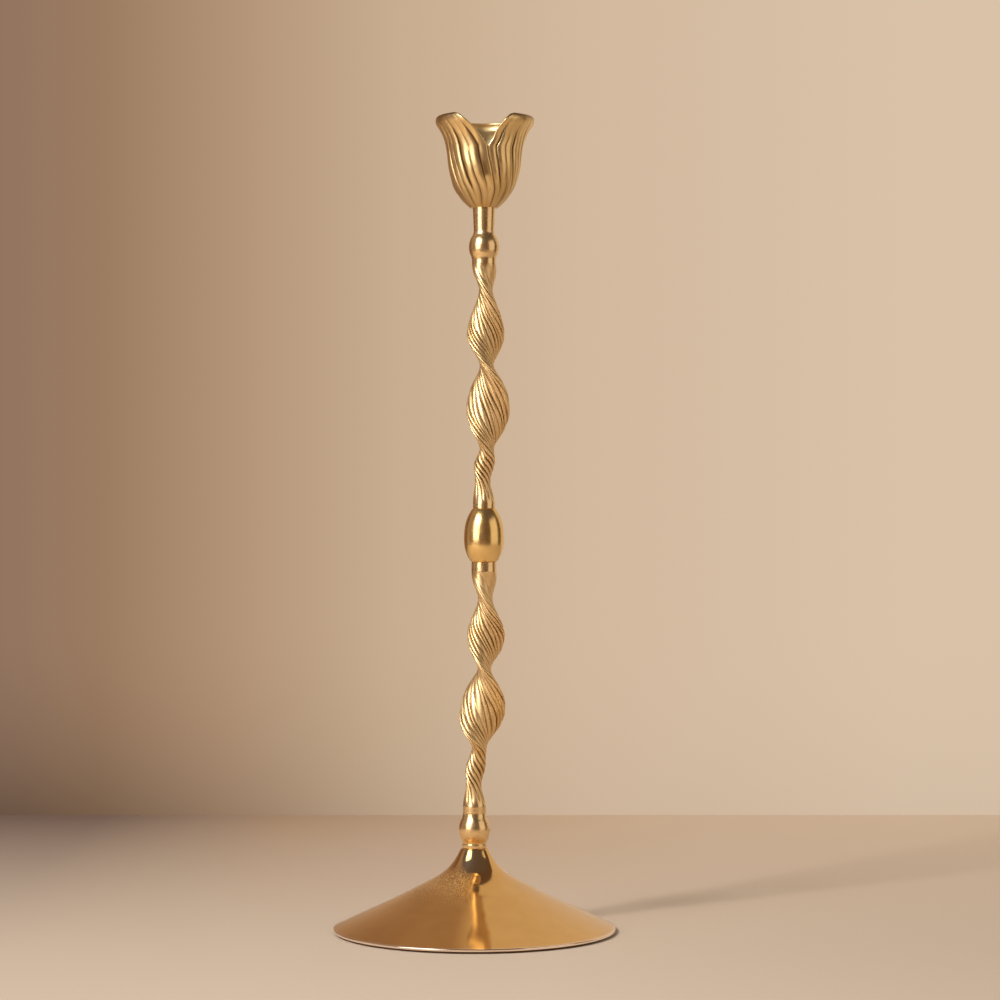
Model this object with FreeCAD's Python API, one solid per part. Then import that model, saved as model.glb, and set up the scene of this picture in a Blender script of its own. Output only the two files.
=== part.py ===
import FreeCAD, Part
import os
from math import cos, hypot, pi, radians, sin

# Spiral candle holder, a cast and turned brass stick for one taper candle.
# A tulip cup stands on two twisted reeded stems with a turned knop between them,
# and a hollow conical foot carries the lot. Steel studs and a screw hold it together.
# Millimetres. Z is up, z = 0 is the table, and the foot's axis is x = y = 0.
# The front is -Y. A turn is an angle about Z, seen from above.

V = FreeCAD.Vector
UP = V(0, 0, 1)
ORIGIN = V(0, 0, 0)
front_turn = -90.0

# Candle and socket
candle_d = 22.2
candle_clearance = 0.2
socket_depth = 13.0

# Tulip cup
cup_height = 39.1
cup_mouth_r = 21.3
cup_floor_h = 9.0
cup_wall = 1.7
lip_wall = 1.0
notch_depth = 14.1
petal_count = 3
petal_lap = 0.8
flutes_per_petal = 8
flute_depth = 0.45
facet_depth = 0.45
front_notch_turn = 5.8

# Stems
upper_twist_length = 103.4
lower_twist_length = 100.8
stem_width = 21.0
stem_thickness = 6.9
reed_count = 20
reed_depth = 0.75
twist_angle = 680.0
twist_start = 20.0
reed_creep_share = 0.45
axis_offset = 4.1
section_pitch = 3.2
neck_sink = 0.8

# Necks and beads of the upper stem, from the cup down
cup_neck_top_r = 4.85
cup_neck_low_r = 4.35
cup_neck_length = 11.0
upper_bead_r = 6.5
upper_bead_length = 10.6
upper_neck_r = 5.2
upper_neck_length = 2.3
upper_foot_neck_r = 4.75
upper_foot_neck_length = 2.2

# Turned knop between the stems
knop_r = 8.65
knop_length = 22.8
knop_top_r = 5.0
knop_low_r = 5.7

# Necks, bead and ring of the lower stem, from the knop down
lower_head_neck_r = 5.4
lower_head_neck_length = 4.3
lower_neck_r = 4.95
lower_neck_length = 4.6
lower_bead_r = 6.7
lower_bead_length = 11.2
groove_r = 4.9
groove_length = 0.6
ring_r = 5.4
ring_length = 1.9

# Foot
foot_r = 60.75
foot_height = 35.0
foot_top_r = 5.7
foot_rim_edge = 0.9
foot_rim_land = 7.0
foot_wall = 2.7
foot_boss_depth = 11.0
foot_seat_r = 8.5

# Felt under the rim
felt_thickness = 1.0
felt_set_back = 1.5

# Studs, screw and washers
stud_d = 4.0
stud_cup_depth = 6.0
stud_neck_depth = 9.0
stud_knop_depth = 8.0
thread_clearance = 0.1
screw_d = 5.0
screw_reach = 10.0
screw_tip_gap = 0.5
screw_hole_clearance = 0.25
screw_head_flats = 8.0
screw_head_height = 3.5
washer_d = 14.0
washer_thickness = 1.2
lock_washer_d = 8.8
lock_washer_thickness = 1.2
lock_washer_gap = 0.8

overrun = 1.0
sewing_tolerance = 0.001

# Cup outline: share of the cup's height, share of the mouth's radius
cup_outline_shares = ((0.0, 0.285), (0.07, 0.425), (0.13, 0.515), (0.20, 0.605), (0.27, 0.666),
                      (0.33, 0.704), (0.46, 0.755), (0.60, 0.781), (0.66, 0.798), (0.73, 0.829),
                      (0.79, 0.868), (0.86, 0.922), (0.93, 0.982), (1.0, 1.0))
# Rows of the cup: shares of the height below the notch, then of the notch's depth
cup_row_shares = (0.0, 0.09, 0.18, 0.28, 0.39, 0.52, 0.68, 0.84, 1.0)
petal_row_shares = (0.0, 0.22, 0.42, 0.6, 0.78, 0.91, 1.0)
# Petal edges: share of the notch's depth, share of the petal's sweep cut away at that edge
lap_edge_shares = ((0.0, 0.0), (0.29, 0.081), (0.55, 0.156), (0.81, 0.242), (0.96, 0.31),
                   (1.0, 0.36))
tuck_edge_shares = ((0.0, 0.0), (0.21, 0.058), (0.46, 0.1), (0.70, 0.155), (0.94, 0.235),
                    (1.0, 0.29))
# Lean of the lap line below the notch: share of the cup's height, share of a petal's sweep
lap_lean_shares = ((0.0, 0.16), (0.12, 0.15), (0.36, 0.067), (0.64, 0.0), (1.0, 0.0))
# Depth of flutes, of the broad facets and of the lap: share of the height, share of the depth
flute_fade_shares = ((0.0, 0.0), (0.15, 0.3), (0.30, 0.9), (0.45, 1.0), (0.78, 0.9), (0.92, 0.45),
                     (1.0, 0.15))
facet_fade_shares = ((0.0, 0.5), (0.12, 1.0), (0.30, 0.5), (0.45, 0.0), (1.0, 0.0))
lap_fade_shares = ((0.0, 0.0), (0.20, 0.5), (0.45, 1.0), (1.0, 1.0))

# Upper stem: share of the twisted length from its lower end, then a share of the size named
upper_width_shares = ((0.0, 0.440), (0.092, 0.39), (0.154, 0.424), (0.225, 0.571), (0.283, 0.752),
                      (0.396, 0.905), (0.525, 1.005), (0.667, 0.882), (0.767, 0.695),
                      (0.892, 0.595), (1.0, 0.484))
upper_thickness_shares = ((0.0, 1.340), (0.092, 0.97), (0.154, 0.986), (0.225, 0.93),
                          (0.396, 1.0), (0.575, 0.88), (0.767, 0.87), (0.892, 0.88), (1.0, 1.473))
upper_turn_shares = ((0.0, 1.0), (0.092, 0.897), (0.225, 0.632), (0.575, 0.368), (0.892, 0.103),
                     (1.0, 0.0))
upper_sway_shares = ((0.0, 0.0), (0.092, -0.026), (0.154, 0.0), (0.225, 0.057), (0.396, 0.086),
                     (0.575, 0.057), (0.70, 0.033), (0.892, 0.038), (1.0, 0.0))

# Lower stem, in the same way, with its lean from the foot's axis as a share of the axis offset
lower_width_shares = ((0.0, 0.460), (0.085, 0.39), (0.154, 0.41), (0.205, 0.41), (0.244, 0.6),
                      (0.282, 0.80), (0.35, 0.925), (0.419, 0.943), (0.52, 1.0), (0.60, 0.96),
                      (0.692, 0.82), (0.778, 0.724), (0.889, 0.595), (1.0, 0.503))
lower_thickness_shares = ((0.0, 1.400), (0.085, 0.97), (0.154, 0.957), (0.244, 0.93),
                          (0.419, 1.0), (0.585, 0.84), (0.731, 0.87), (0.889, 0.93), (1.0, 1.530))
lower_turn_shares = ((0.0, 1.0), (0.085, 0.897), (0.244, 0.632), (0.585, 0.368), (0.889, 0.103),
                     (1.0, 0.0))
lower_lean_shares = ((0.0, 0.0), (0.085, -0.08), (0.154, 0.08), (0.205, 0.32), (0.244, 0.5),
                     (0.35, 0.66), (0.43, 0.92), (0.585, 1.05), (0.66, 1.22), (0.889, 1.14),
                     (1.0, 1.0))
# Depth of the reeds: share of the twisted length, share of the reeds' depth
reed_fade_shares = ((0.0, 0.0), (0.07, 0.7), (0.3, 1.0), (0.8, 0.95), (0.93, 0.7), (1.0, 0.0))

# Knop outline: share of its length from the top, share of its radius, at each arc's middle and end
knop_arc_shares = (((0.19, 0.85), (0.42, 0.98)), ((0.55, 1.0), (0.68, 0.985)))
knop_last_arc_share = (0.84, 0.885)

# Foot outline: share of the radius, share of the height, up from the rim
foot_cone_end_share = (0.640, 0.317)
foot_sweep_shares = ((0.367, 0.546), (0.205, 0.729))
foot_throat_share = (0.143, 0.851)

# Levels, from the table up
foot_z = felt_thickness
lower_stem_z = foot_z + foot_height
lower_twist_z = lower_stem_z + ring_length + groove_length + lower_bead_length + lower_neck_length
lower_head_z = lower_twist_z + lower_twist_length
knop_z = lower_head_z + lower_head_neck_length
upper_stem_z = knop_z + knop_length
upper_twist_z = upper_stem_z + upper_foot_neck_length
upper_neck_z = upper_twist_z + upper_twist_length
cup_z = upper_neck_z + upper_neck_length + upper_bead_length + cup_neck_length
notch_z = cup_z + cup_height - notch_depth
socket_z = cup_z + cup_floor_h
socket_mouth_z = socket_z + socket_depth
socket_r = candle_d / 2 + candle_clearance
petal_sweep = 360.0 / petal_count
seat_z = lower_stem_z - foot_boss_depth


def curve(table, position):
    """Value at a position on the monotone smooth curve through a table of pairs."""
    steps = [b[0] - a[0] for a, b in zip(table, table[1:])]
    rates = [(b[1] - a[1]) / step for a, b, step in zip(table, table[1:], steps)]
    slopes = [rates[0]]
    for before, after, s0, s1 in zip(rates, rates[1:], steps, steps[1:]):
        if before * after <= 0:
            slopes.append(0.0)
        else:
            w0, w1 = 2 * s1 + s0, s1 + 2 * s0
            slopes.append((w0 + w1) / (w0 / before + w1 / after))
    slopes.append(rates[-1])
    index = 0
    while index < len(steps) - 1 and position > table[index + 1][0]:
        index += 1
    (x0, y0), (x1, y1), step = table[index], table[index + 1], steps[index]
    t = (position - x0) / step
    return (y0 * (1 + 2 * t) * (1 - t) ** 2 + slopes[index] * step * t * (1 - t) ** 2
            + y1 * t * t * (3 - 2 * t) + slopes[index + 1] * step * t * t * (t - 1))


def around(radius, turn, z, centre_x=0.0):
    """Point at a radius and a turn about an upright axis at centre_x."""
    return V(centre_x + radius * cos(radians(turn)), radius * sin(radians(turn)), z)


def polygon(points):
    return Part.makePolygon(points + points[:1])


def loft(sections):
    """Solid through closed outlines with straight runs between them."""
    return Part.makeLoft([polygon(points) for points in sections], True, True)


def faceted_loft(sections):
    """Solid skinned with flat triangles through level outlines of equally many points."""
    count = len(sections[0])
    points = [point for section in sections for point in section]
    facets = []
    for start in range(0, len(points) - count, count):
        for k in range(count):
            a, b = start + k, start + (k + 1) % count
            facets += [(a, b, b + count), (a, b + count, a + count)]
    for section, start, flip in ((sections[0], 0, True), (sections[-1], len(points) - count, False)):
        points.append(sum(section, V()) / count)
        for k in range(count):
            a, b = start + k, start + (k + 1) % count
            facets.append((b, a, len(points) - 1) if flip else (a, b, len(points) - 1))
    skin = Part.Shape()
    skin.makeShapeFromMesh((points, facets), sewing_tolerance)
    return Part.makeSolid(skin)


def cylinder(radius, length, x, z):
    return Part.makeCylinder(radius, length, V(x, 0, z), UP)


def turned(edges, x=0.0):
    """Solid turned about the upright axis at x from edges in the XZ plane, closed on the axis."""
    first = edges[0].firstVertex(True).Point
    last = edges[-1].lastVertex(True).Point
    foot, head = V(0, 0, first.z), V(0, 0, last.z)
    wire = Part.Wire([Part.makeLine(foot, first)] + edges
                     + [Part.makeLine(last, head), Part.makeLine(head, foot)])
    solid = Part.Face(wire).revolve(ORIGIN, UP, 360)
    solid.translate(V(x, 0, 0))
    return solid


def line(start, end):
    return Part.makeLine(V(start[0], 0, start[1]), V(end[0], 0, end[1]))


def arc(start, middle, end):
    return Part.Arc(*[V(r, 0, z) for r, z in (start, middle, end)]).toShape()


def even_angles(half_width, half_thickness, count, shift):
    """Ellipse parameters evenly spaced along its edge, in radians, shifted by a share of it."""
    fine = 40 * count
    travelled = [0.0]
    for i in range(fine):
        t = 2 * pi * (i + 0.5) / fine
        travelled.append(travelled[-1] + hypot(half_width * sin(t), half_thickness * cos(t)))
    angles, i = [], 0
    for k in range(count):
        goal = travelled[-1] * ((k / count + shift) % 1.0)
        if goal < travelled[i]:
            i = 0
        while travelled[i + 1] < goal:
            i += 1
        part = (goal - travelled[i]) / (travelled[i + 1] - travelled[i])
        angles.append(2 * pi * (i + part) / fine)
    return angles


def reeded_section(half_width, half_thickness, depth, turn, creep, x, z):
    """Reeded oval outline: a crest and a groove for each reed."""
    points = []
    for k, t in enumerate(even_angles(half_width, half_thickness, 2 * reed_count, creep)):
        inward = depth * (k % 2)
        nx, ny = cos(t) / half_width, sin(t) / half_thickness
        size = hypot(nx, ny)
        px = half_width * cos(t) - inward * nx / size
        py = half_thickness * sin(t) - inward * ny / size
        c, s = cos(radians(turn)), sin(radians(turn))
        points.append(V(x + px * c - py * s, px * s + py * c, z))
    return points


def twisted_run(z, length, widths, thicknesses, turns, axis_at):
    """Left-handed twist of a reeded flat bar, with a plain end sunk into the neck at each end.

    The reeds turn with the bar, and they also creep round its outline in the same direction.
    """
    rows = round(length / section_pitch)
    sections = []
    for row in range(rows + 1):
        share = row / rows
        sections.append(reeded_section(stem_width / 2 * curve(widths, share),
                                       stem_thickness / 2 * curve(thicknesses, share),
                                       reed_depth * curve(reed_fade_shares, share),
                                       twist_start + twist_angle * curve(turns, share),
                                       reed_creep_share * curve(turns, share),
                                       axis_at(share), z + length * share))
    low_end = [point - UP * neck_sink for point in sections[0]]
    high_end = [point + UP * neck_sink for point in sections[-1]]
    return faceted_loft([low_end] + sections + [high_end])


def upper_stem():
    twist = twisted_run(upper_twist_z, upper_twist_length, upper_width_shares,
                        upper_thickness_shares, upper_turn_shares,
                        lambda share: axis_offset + stem_width * curve(upper_sway_shares, share))
    foot_neck = cylinder(upper_foot_neck_r, upper_foot_neck_length, axis_offset, upper_stem_z)
    bead_z = upper_neck_z + upper_neck_length
    neck_z = bead_z + upper_bead_length
    head = turned([line((upper_neck_r, upper_neck_z), (upper_neck_r, bead_z)),
                   arc((upper_neck_r, bead_z), (upper_bead_r, bead_z + upper_bead_length / 2),
                       (cup_neck_low_r, neck_z)),
                   line((cup_neck_low_r, neck_z), (cup_neck_top_r, cup_z))], axis_offset)
    body = foot_neck.multiFuse([twist, head])
    hole_r = stud_d / 2 + thread_clearance
    body = body.cut(cylinder(hole_r, stud_knop_depth + overrun, axis_offset,
                             upper_stem_z - overrun))
    return body.cut(cylinder(hole_r, stud_neck_depth + overrun, axis_offset,
                             cup_z - stud_neck_depth))


def lower_stem():
    twist = twisted_run(lower_twist_z, lower_twist_length, lower_width_shares,
                        lower_thickness_shares, lower_turn_shares,
                        lambda share: axis_offset * curve(lower_lean_shares, share))
    head_neck = cylinder(lower_head_neck_r, lower_head_neck_length, axis_offset, lower_head_z)
    groove_z = lower_stem_z + ring_length
    bead_z = groove_z + groove_length
    neck_z = bead_z + lower_bead_length
    base = turned([line((ring_r, lower_stem_z), (ring_r, groove_z)),
                   line((ring_r, groove_z), (groove_r, groove_z)),
                   line((groove_r, groove_z), (groove_r, bead_z)),
                   arc((groove_r, bead_z), (lower_bead_r, bead_z + lower_bead_length / 2),
                       (lower_neck_r, neck_z)),
                   line((lower_neck_r, neck_z), (lower_neck_r, lower_twist_z))])
    body = base.multiFuse([twist, head_neck])
    body = body.cut(cylinder(stud_d / 2 + thread_clearance, stud_knop_depth + overrun,
                             axis_offset, knop_z - stud_knop_depth))
    return body.cut(cylinder(screw_d / 2 + thread_clearance,
                             screw_reach + screw_tip_gap + overrun, 0.0, lower_stem_z - overrun))


def middle_knop():
    def point(share_down, share_r):
        return (knop_r * share_r, knop_z + knop_length * (1 - share_down))
    start = (knop_top_r, knop_z + knop_length)
    edges = []
    for middle, end in knop_arc_shares:
        edges.append(arc(start, point(*middle), point(*end)))
        start = point(*end)
    edges.append(arc(start, point(*knop_last_arc_share), (knop_low_r, knop_z)))
    bore = cylinder(stud_d / 2 + thread_clearance, knop_length + 2 * overrun, axis_offset,
                    knop_z - overrun)
    return turned(edges, axis_offset).cut(bore)


def cup_outline_r(height_share):
    return cup_mouth_r * curve(cup_outline_shares, height_share)


def petal_outlines(z):
    """Outer outlines of the petals at one level, front petal first, each a list of points.

    A petal laps over the far end of the next one, so its radius falls along its sweep. Two
    points make each flute, and every second groove also bounds a broad facet at the base.
    Above the notches the petals grow narrower, and their flutes draw together with them.
    """
    share = (z - cup_z) / cup_height
    rise = max(0.0, (z - notch_z) / notch_depth)
    lean = petal_sweep * curve(lap_lean_shares, share)
    lap_cut = petal_sweep * curve(lap_edge_shares, rise)
    sweep = petal_sweep - lap_cut - petal_sweep * curve(tuck_edge_shares, rise)
    lap = petal_lap * curve(lap_fade_shares, share)
    flute = flute_depth * curve(flute_fade_shares, share)
    facet = facet_depth * curve(facet_fade_shares, share)
    steps = 2 * flutes_per_petal
    petals = []
    for petal in range(petal_count):
        first = front_turn + front_notch_turn + lean - lap_cut - petal * petal_sweep
        points = [around(cup_outline_r(share), first, z, axis_offset)]
        for k in range(1, steps + 1):
            inward = lap * k / steps + flute * (k % 2 == 0) + facet * (k % 4 == 0)
            points.append(around(cup_outline_r(share) - inward, first - sweep * k / steps, z,
                                 axis_offset))
        petals.append(points)
    return petals


def petal_inside(outer, z):
    """Inner outline of a petal, back from its far end, with one point for each flute."""
    share = (z - cup_z) / cup_height
    rise = (z - notch_z) / notch_depth
    wall = cup_wall + (lip_wall - cup_wall) * rise
    inside = []
    for k in range(len(outer) - 1, -1, -2):
        lap = petal_lap * curve(lap_fade_shares, share) * k / (len(outer) - 1)
        radial = outer[k] - V(axis_offset, 0, z)
        radial.normalize()
        inside.append(V(axis_offset, 0, z) + radial * (cup_outline_r(share) - lap - wall))
    return inside


def tulip_cup():
    bowl_rows = []
    for share in cup_row_shares:
        petals = petal_outlines(cup_z + (notch_z - cup_z) * share)
        bowl_rows.append([point for points in petals for point in points])
    petal_rows = []
    for share in petal_row_shares:
        z = notch_z + notch_depth * share
        petal_rows.append([outer + petal_inside(outer, z) for outer in petal_outlines(z)])
    petals = [loft([row[k] for row in petal_rows]) for k in range(petal_count)]
    throat_r = cup_outline_r((notch_z - cup_z) / cup_height) - petal_lap - cup_wall
    socket = turned([line((socket_r, socket_z), (socket_r, socket_mouth_z)),
                     line((socket_r, socket_mouth_z), (throat_r, notch_z)),
                     line((throat_r, notch_z), (throat_r, notch_z + overrun))], axis_offset)
    hole = cylinder(stud_d / 2 + thread_clearance, stud_cup_depth + overrun, axis_offset,
                    cup_z - overrun)
    return loft(bowl_rows).cut(socket.fuse(hole)).multiFuse(petals)


def foot():
    """Hollow cast cone with a thick rim, and a boss under the stem with a flat seat."""
    rim_z = foot_z + foot_rim_edge

    def point(share, drop=0.0):
        return (foot_r * share[0], foot_z + foot_height * share[1] - drop)
    cone_end, sweep_middle, sweep_end = foot_cone_end_share, *foot_sweep_shares
    inner_rim_r = foot_r - foot_rim_land
    slope = (point(cone_end)[1] - rim_z) / (foot_r - point(cone_end)[0])
    inner_rim_z = rim_z + slope * foot_rim_land - foot_wall
    outside = turned([line((foot_r, foot_z), (foot_r, rim_z)),
                      line((foot_r, rim_z), point(cone_end)),
                      arc(point(cone_end), point(sweep_middle), point(sweep_end)),
                      arc(point(sweep_end), point(foot_throat_share),
                          (foot_top_r, lower_stem_z))])
    inside = turned([line((inner_rim_r, foot_z - overrun), (inner_rim_r, inner_rim_z)),
                     line((inner_rim_r, inner_rim_z), point(cone_end, foot_wall)),
                     arc(point(cone_end, foot_wall), point(sweep_middle, foot_wall),
                         point(sweep_end, foot_wall)),
                     line(point(sweep_end, foot_wall), (foot_seat_r, seat_z))])
    hole = cylinder(screw_d / 2 + screw_hole_clearance, foot_boss_depth + 2 * overrun, 0.0,
                    seat_z - overrun)
    return outside.cut(inside.fuse(hole))


def foot_felt():
    """Felt ring glued under the rim."""
    outer = cylinder(foot_r - felt_set_back, felt_thickness, 0.0, 0.0)
    return outer.cut(cylinder(foot_r - foot_rim_land, felt_thickness + 2 * overrun, 0.0,
                              -overrun))


def foot_washer():
    hole_r = screw_d / 2 + screw_hole_clearance
    disc = cylinder(washer_d / 2, washer_thickness, 0.0, seat_z - washer_thickness)
    return disc.cut(cylinder(hole_r, washer_thickness + 2 * overrun, 0.0,
                             seat_z - washer_thickness - overrun))


def foot_lock_washer():
    """Spring washer, cut through at one side."""
    low_z = seat_z - washer_thickness - lock_washer_thickness
    ring = cylinder(lock_washer_d / 2, lock_washer_thickness, 0.0, low_z)
    ring = ring.cut(cylinder(screw_d / 2 + thread_clearance,
                             lock_washer_thickness + 2 * overrun, 0.0, low_z - overrun))
    slit = Part.makeBox(lock_washer_d, lock_washer_gap, lock_washer_thickness + 2 * overrun,
                        V(0, -lock_washer_gap / 2, low_z - overrun))
    return ring.cut(slit)


def foot_screw():
    """Hexagon head screw, up through the foot's boss into the lower stem."""
    head_top_z = seat_z - washer_thickness - lock_washer_thickness
    corner_r = screw_head_flats / 2 / cos(radians(30))
    corners = [around(corner_r, 60 * k, head_top_z - screw_head_height) for k in range(6)]
    head = Part.Face(polygon(corners)).extrude(V(0, 0, screw_head_height))
    shank = cylinder(screw_d / 2, lower_stem_z + screw_reach - head_top_z, 0.0, head_top_z)
    return head.fuse(shank)


def cup_stud():
    return cylinder(stud_d / 2, stud_neck_depth + stud_cup_depth, axis_offset,
                    cup_z - stud_neck_depth)


def middle_stud():
    return cylinder(stud_d / 2, knop_length + 2 * stud_knop_depth, axis_offset,
                    knop_z - stud_knop_depth)


PARTS = {
    "tulip_cup": tulip_cup,
    "cup_stud": cup_stud,
    "upper_stem": upper_stem,
    "middle_knop": middle_knop,
    "middle_stud": middle_stud,
    "lower_stem": lower_stem,
    "foot": foot,
    "foot_screw": foot_screw,
    "foot_washer": foot_washer,
    "foot_lock_washer": foot_lock_washer,
    "foot_felt": foot_felt,
}

os.makedirs("parts", exist_ok=True)
for name, make in PARTS.items():
    shape = make()
    print(name, shape.isValid(), len(shape.Solids), "solid,", round(shape.Volume), "mm3")
    shape.exportStep("parts/" + name + ".step")
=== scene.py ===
import math

import bmesh
import bpy
import numpy as np
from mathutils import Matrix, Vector


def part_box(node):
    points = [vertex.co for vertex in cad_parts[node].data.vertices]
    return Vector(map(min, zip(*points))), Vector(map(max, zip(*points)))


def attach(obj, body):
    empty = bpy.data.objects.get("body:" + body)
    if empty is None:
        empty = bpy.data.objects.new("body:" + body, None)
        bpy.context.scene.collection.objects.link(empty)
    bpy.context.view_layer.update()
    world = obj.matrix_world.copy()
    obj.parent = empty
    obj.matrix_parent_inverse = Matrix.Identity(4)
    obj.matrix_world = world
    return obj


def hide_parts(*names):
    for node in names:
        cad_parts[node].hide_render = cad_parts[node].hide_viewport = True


# Spiral candle holder in polished brass: a tulip cup of three fluted petals on two twisted,
# reeded stems with a turned knop between them, and a hollow conical foot.
# Lengths are millimetres up to to_metres, which turns them into the scene's metres. The studio is
# in metres throughout.
# Z is up, the table is z = 0, and the foot's axis is x = y = 0. The front is -Y.

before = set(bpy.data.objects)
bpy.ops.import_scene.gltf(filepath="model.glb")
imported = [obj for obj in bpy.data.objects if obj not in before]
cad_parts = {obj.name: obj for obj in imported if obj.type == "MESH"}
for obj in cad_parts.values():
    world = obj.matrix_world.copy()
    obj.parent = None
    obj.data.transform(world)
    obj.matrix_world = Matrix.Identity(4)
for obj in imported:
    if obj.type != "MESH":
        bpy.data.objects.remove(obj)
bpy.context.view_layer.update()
MM = 0.001
BODY = "root"
# How much painted shade a point gets, mostly from how deep in a groove it is, and whether it is on
# the reeded part
PAINTED_SHADE, REEDED = "painted_shade_amount", "reeded"
ROW_SIZES = ("half_width", "half_thickness", "turn", "lean", "reed_depth", "creep", "fineness",
             REEDED)
ROW_SHARES = ("turn", "creep", "fineness", REEDED)

# What nearly all of a noise's values lie between
noise_span = (0.3, 0.7)

# Kinds of node
MATH = "ShaderNodeMath"
VECTOR_MATH = "ShaderNodeVectorMath"
XYZ = "ShaderNodeCombineXYZ"
SPLIT_XYZ = "ShaderNodeSeparateXYZ"
RANGE = "ShaderNodeMapRange"
MIX = "ShaderNodeMix"
NOISE = "ShaderNodeTexNoise"
RAMP = "ShaderNodeValToRGB"
BUMP = "ShaderNodeBump"
ROW_SIZE = "GeometryNodeInputNamedAttribute"


def node_box(node):
    """Lowest and highest corner of a CAD node, in millimetres."""
    low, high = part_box(node)
    return np.array(low) / MM, np.array(high) / MM


# Levels and radii read from the frame
foot_low, foot_high = node_box("foot")
lower_low, lower_high = node_box("lower_stem")
knop_low, knop_high = node_box("middle_knop")
upper_low, upper_high = node_box("upper_stem")
cup_low, cup_high = node_box("tulip_cup")
stick_x = (knop_low[0] + knop_high[0]) / 2

# Turned pieces: points round, and the sharpest turn of an outline that isn't rounded
lathe_segments = 192
foot_segments = 256
corner_turn = 25.0

# Stems
stem_width = 21.0
stem_thickness = 6.9
reed_count = 20
points_per_reed = 8
reed_depth = 0.55
reed_roundness = 0.8
reed_creep_shares = ((0.0, 0.0), (0.88, 0.485), (1.0, 0.385))
fine_reed_widths = (0.54, 0.74)
twist_angle = 680.0
twist_start = 20.0
row_pitch = 0.4
edge_round = 0.25
neck_round = 1.6
oval_points = 256
# Ripples in where the reeds lie: share of the way round, waves round, radians a row
creep_ripples = ((0.010, 3, 0.06), (0.006, 7, -0.09))
# How much deeper and shallower a reed's grooves get, and over what length
depth_wander = (0.6, 1.3)
depth_wander_length = 14.0
# How far apart in the noise two reeds are
reed_noise_step = 7.3
# Share of the twisted length over which the reeds' satin finish comes in at each end
satin_fade_shares = (1 / 20, 1 / 25)

# Necks and beads of the upper stem
cup_neck_top_r = 4.85
cup_neck_low_r = 4.35
cup_neck_length = 11.0
upper_bead_r = 6.5
upper_bead_length = 10.6
upper_neck_r = 5.2
upper_neck_length = 2.3
upper_foot_neck_r = 4.75
upper_foot_neck_length = 2.2

# Necks, bead and ring of the lower stem
lower_head_neck_r = 5.4
lower_head_neck_length = 4.3
lower_neck_r = 4.95
lower_neck_length = 4.6
lower_bead_r = 6.7
lower_bead_length = 11.2
groove_r = 5.12
groove_length = 0.6
ring_r = 5.3
ring_length = 1.9

# Turned knop between the stems
knop_r = 8.65
knop_top_r = 5.0
knop_low_r = 5.7

# Tulip cup
cup_mouth_r = 21.3
cup_floor_h = 9.0
socket_r = 11.3
socket_depth = 13.0
notch_depth = 14.1
cup_wall = 1.7
lip_wall = 1.5
petal_count = 3
petal_sweep = 360.0 / petal_count
# Rows up a petal, how many of them give way to those of the rounded lip, and points across it
petal_rows = 110
lip_rows_replaced = 6
lip_rows = 10
points_per_flute = 12
petal_side_steps = (0.001, 0.003, 0.007, 0.013)
petal_lap = 0.8
flutes_per_petal = 8
# Each flute's share of the depth, from the lapping edge on
flute_unevenness = (1.0, 0.35, 1.3, 0.35, 1.2, 0.35, 1.25, 0.45)
flute_depth = 0.8
flute_roundness = 0.55
facet_depth = 0.45
# Painted shade in the hollows, at the cup's base and lip, as a painted dark reflection in the broad
# flute beside the lap, and on the edge that is tucked under
base_lip_shade = 0.36
lap_shade = 1.0
lap_shade_u = 0.095
lap_shade_reach = 0.06
tucked_edge_shade = 0.5
tucked_edge_shade_reach = 0.03
front_notch_turn = 5.8
front_turn = -90.0
petal_edge = 0.9
stud_hole_r = 2.1
stud_cup_depth = 6.0

# Foot
foot_rim_edge = 0.9
foot_rim_land = 7.0
foot_wall = 2.7
foot_boss_depth = 11.0
foot_seat_r = 8.5
foot_top_r = 5.7
foot_hole_r = 2.75
foot_edge_round = 0.3
cone_steps, flare_steps, inner_steps = 24, 70, 30

# Upper stem: share of the twisted length from its lower end, then a share of the size named
upper_width_shares = ((0.0, 0.452), (0.092, 0.39), (0.154, 0.424), (0.225, 0.571), (0.283, 0.752),
                      (0.396, 0.905), (0.525, 1.005), (0.667, 0.882), (0.767, 0.695),
                      (0.892, 0.595), (1.0, 0.495))
upper_thickness_shares = ((0.0, 1.377), (0.092, 0.97), (0.154, 0.986), (0.225, 0.93),
                          (0.396, 1.0), (0.575, 0.88), (0.767, 0.87), (0.892, 0.88), (1.0, 1.507))
upper_turn_shares = ((0.0, 1.0), (0.092, 0.897), (0.225, 0.632), (0.575, 0.368), (0.892, 0.103),
                     (1.0, 0.0))
upper_sway_shares = ((0.0, 0.0), (0.092, -0.026), (0.154, 0.0), (0.225, 0.057), (0.396, 0.086),
                     (0.575, 0.057), (0.70, 0.033), (0.892, 0.038), (1.0, 0.0))

# Lower stem, in the same way, with its lean from the foot's axis as a share of the axis offset
lower_width_shares = ((0.0, 0.471), (0.085, 0.39), (0.154, 0.41), (0.205, 0.41), (0.244, 0.6),
                      (0.282, 0.80), (0.35, 0.925), (0.419, 0.943), (0.52, 1.0), (0.60, 0.96),
                      (0.692, 0.82), (0.778, 0.724), (0.889, 0.595), (1.0, 0.514))
lower_thickness_shares = ((0.0, 1.435), (0.085, 0.97), (0.154, 0.957), (0.244, 0.93),
                          (0.419, 1.0), (0.585, 0.84), (0.731, 0.87), (0.889, 0.93), (1.0, 1.565))
lower_turn_shares = ((0.0, 1.0), (0.085, 0.897), (0.244, 0.632), (0.585, 0.368), (0.889, 0.103),
                     (1.0, 0.0))
lower_lean_shares = ((0.0, 0.0), (0.085, -0.08), (0.154, 0.08), (0.205, 0.32), (0.244, 0.5),
                     (0.35, 0.66), (0.43, 0.92), (0.585, 1.05), (0.66, 1.22), (0.889, 1.14),
                     (1.0, 1.0))
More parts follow.
